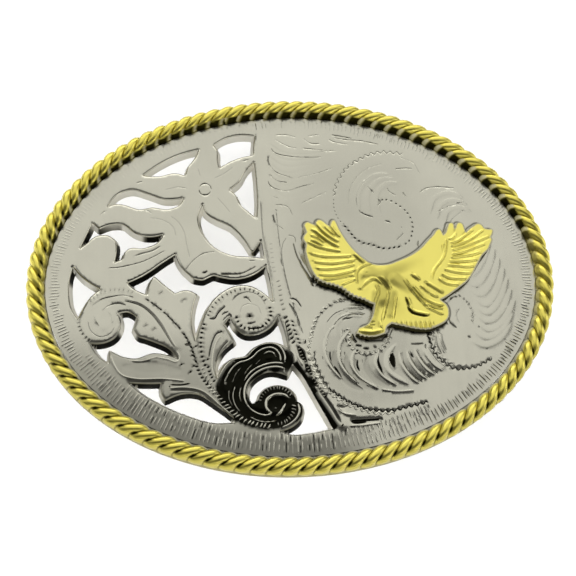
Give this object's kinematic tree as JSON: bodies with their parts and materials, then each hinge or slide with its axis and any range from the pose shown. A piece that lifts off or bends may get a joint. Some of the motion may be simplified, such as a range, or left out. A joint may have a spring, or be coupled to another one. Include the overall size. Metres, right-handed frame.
{
  "type": "western belt buckle",
  "caption": "Oval western belt buckle with a domed face pierced with scrolls on one half, a twisted rope edge, a raised eagle, and a belt loop and hook stud behind.",
  "frame": {"origin": "middle of the oval, on the level of the loop's crossbar and the stud's tip, which the buckle rests on", "axes": "+Z out of the face, +X along the oval towards the belt loop, +Y up the face as the eagle stands"},
  "size_m": [0.1, 0.075, 0.014],
  "materials": {
    "silver_face": "cast and engraved warm silver plate, satin with worn high lines",
    "gold_rope": "bright lemon gold plate",
    "gold_figure": "satin lemon gold plate",
    "back_steel": "plain tumbled nickel plate"
  },
  "bodies": {
    "root": {"face_plate": "silver_face", "rope_edge": "gold_rope", "eagle_figure": "gold_figure", "belt_loop": "back_steel", "hook_stud": "back_steel"}
  },
  "joints": []
}
